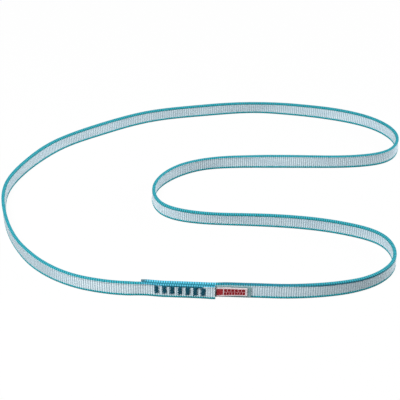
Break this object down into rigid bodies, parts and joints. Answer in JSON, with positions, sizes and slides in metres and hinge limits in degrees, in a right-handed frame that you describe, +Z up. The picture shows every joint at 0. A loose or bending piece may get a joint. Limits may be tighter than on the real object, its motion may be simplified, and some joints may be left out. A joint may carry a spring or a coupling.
{
  "type": "climbing sling",
  "caption": "Sewn loop of narrow flat webbing, closed by a bar-tacked overlap with a sewn-in label, for joining climbing gear to anchors.",
  "frame": {"origin": "centre of the loop's bounding box, on the surface that the webbing's lower edge stands on", "axes": "+X along the loop's long side, +Y from the front row with the seam to the back row, +Z up along the webbing's width"},
  "size_m": [0.3134, 0.2452, 0.011],
  "materials": {
    "webbing": "undyed flat weave with crosswise ribs",
    "selvedge": "teal woven edge yarn",
    "thread": "dark teal twisted sewing thread",
    "label_front": null,
    "label_rear": "grey-green woven tape"
  },
  "bodies": {
    "sling": {"webbing": "webbing", "needle_thread_1": "thread", "needle_thread_2": "thread", "needle_thread_3": "thread", "needle_thread_4": "thread", "needle_thread_5": "thread", "needle_thread_6": "thread", "needle_thread_7": "thread", "bobbin_thread_1": "thread", "bobbin_thread_2": "thread", "bobbin_thread_3": "thread", "bobbin_thread_4": "thread", "bobbin_thread_5": "thread", "bobbin_thread_6": "thread", "bobbin_thread_7": "thread", "jump_thread": "thread", "label_sewn_end": "label_front"},
    "label_rear": {"label_rear_leaf": "label_rear"},
    "label_front": {"label_front_leaf": "label_front"}
  },
  "joints": [
    {"name": "label_rear_lift", "type": "hinge", "parent": "sling", "child": "label_rear", "pos_m": [0.00483, -0.1196, 0.005], "axis": [0, 0, -1], "range_deg": [0, 40]},
    {"name": "label_front_lift", "type": "hinge", "parent": "label_rear", "child": "label_front", "pos_m": [0.0048, -0.1201, 0.005], "axis": [0, 0, -1], "range_deg": [0, 50]}
  ]
}
